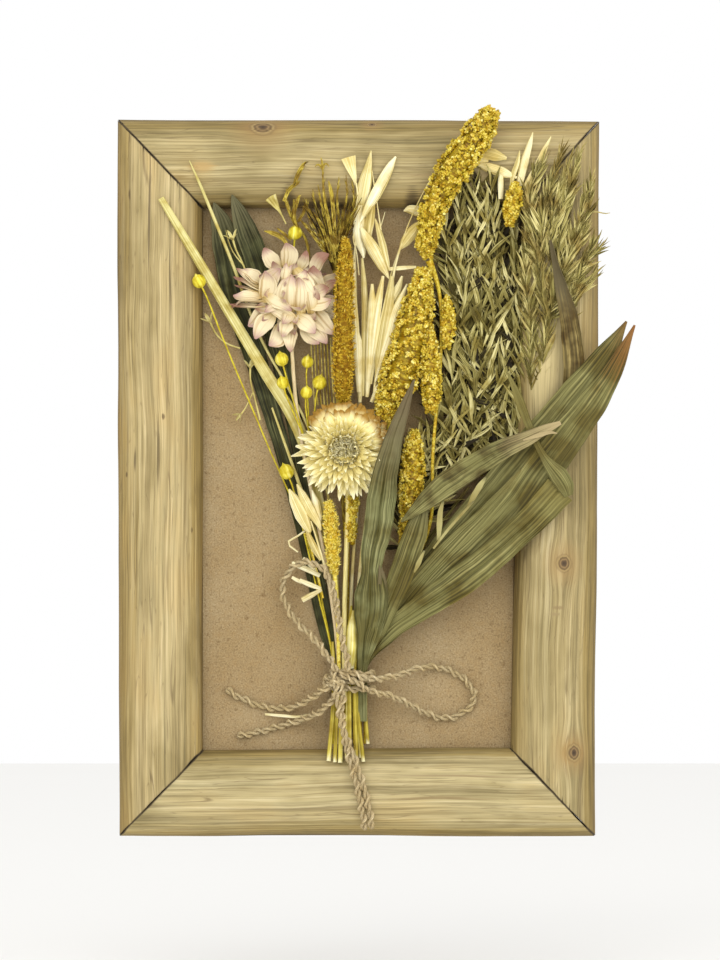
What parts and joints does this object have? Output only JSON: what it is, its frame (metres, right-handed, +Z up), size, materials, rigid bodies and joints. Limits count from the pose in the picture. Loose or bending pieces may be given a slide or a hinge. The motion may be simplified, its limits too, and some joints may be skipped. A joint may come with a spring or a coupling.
{
  "type": "pressed flower frame",
  "caption": "Upright wall-hung frame of four mitred half-round wooden poles with a brown hardboard back, holding a bouquet of dried flowers, grasses and leaves tied with jute twine.",
  "frame": {"origin": "middle of the top rail's flat sawn back, where the frame meets the wall", "axes": "+Z up along the frame's height; the face and the bouquet look along -Y; the sawn backs lie in the plane Y = 0; +X to the viewer's right"},
  "size_m": [0.2147, 0.0322, 0.3037],
  "materials": {
    "pole_wood": "matte",
    "hardboard": "matte",
    "dry_leaf": "matte",
    "brown_leaf": "matte",
    "pink_bract": "matte",
    "cream_bract": "matte",
    "flax_pod": "matte",
    "golden_grain": "matte",
    "straw": "matte",
    "jute": "matte"
  },
  "bodies": {
    "root": {"rail_top": "pole_wood", "rail_bottom": "pole_wood", "rail_left": "pole_wood", "rail_right": "pole_wood", "back_board": "hardboard", "leaf_dark_long": "dry_leaf", "leaf_dark_short": "dry_leaf", "straw_wide": "straw", "straw_thin": "straw", "straw_green": "straw", "flax_outer": "flax_pod", "flax_top": "flax_pod", "flax_mid_1": "flax_pod", "flax_mid_2": "flax_pod", "flax_mid_3": "flax_pod", "flax_mid_4": "flax_pod", "flax_mid_5": "flax_pod", "flax_low": "flax_pod", "husk_top": "straw", "husk_left": "straw", "husk_mid": "straw", "strawflower_pink": "pink_bract", "strawflower_cream": "cream_bract", "bristle_grass": "golden_grain", "needle_sprig": "golden_grain", "spike_brown": "golden_grain", "spike_yellow": "golden_grain", "oat_left": "straw", "oat_right": "straw", "oat_low": "straw", "oat_stub_left": "straw", "oat_stub_right": "straw", "millet_tall": "golden_grain", "millet_wide": "golden_grain", "millet_low": "golden_grain", "millet_small": "golden_grain", "foliage_inner": "dry_leaf", "foliage_outer": "dry_leaf", "foliage_low": "dry_leaf", "feather_tuft": "dry_leaf", "leaf_twisted": "brown_leaf", "blade_tall": "dry_leaf", "blade_rust": "dry_leaf", "blade_rolled": "dry_leaf", "blade_folded": "dry_leaf", "blade_back": "dry_leaf", "leaf_torn": "dry_leaf", "leaf_front": "dry_leaf", "stalk_sheath": "straw", "stem_cut_left": "straw", "stem_cut_right": "straw", "straw_bit_1": "straw", "straw_bit_2": "straw", "straw_bit_3": "straw", "twine_wrap": "jute", "twine_loop_left": "jute", "twine_loop_right": "jute", "twine_tail_upper": "jute", "twine_tail_lower": "jute", "twine_tail_front": "jute"}
  },
  "joints": []
}
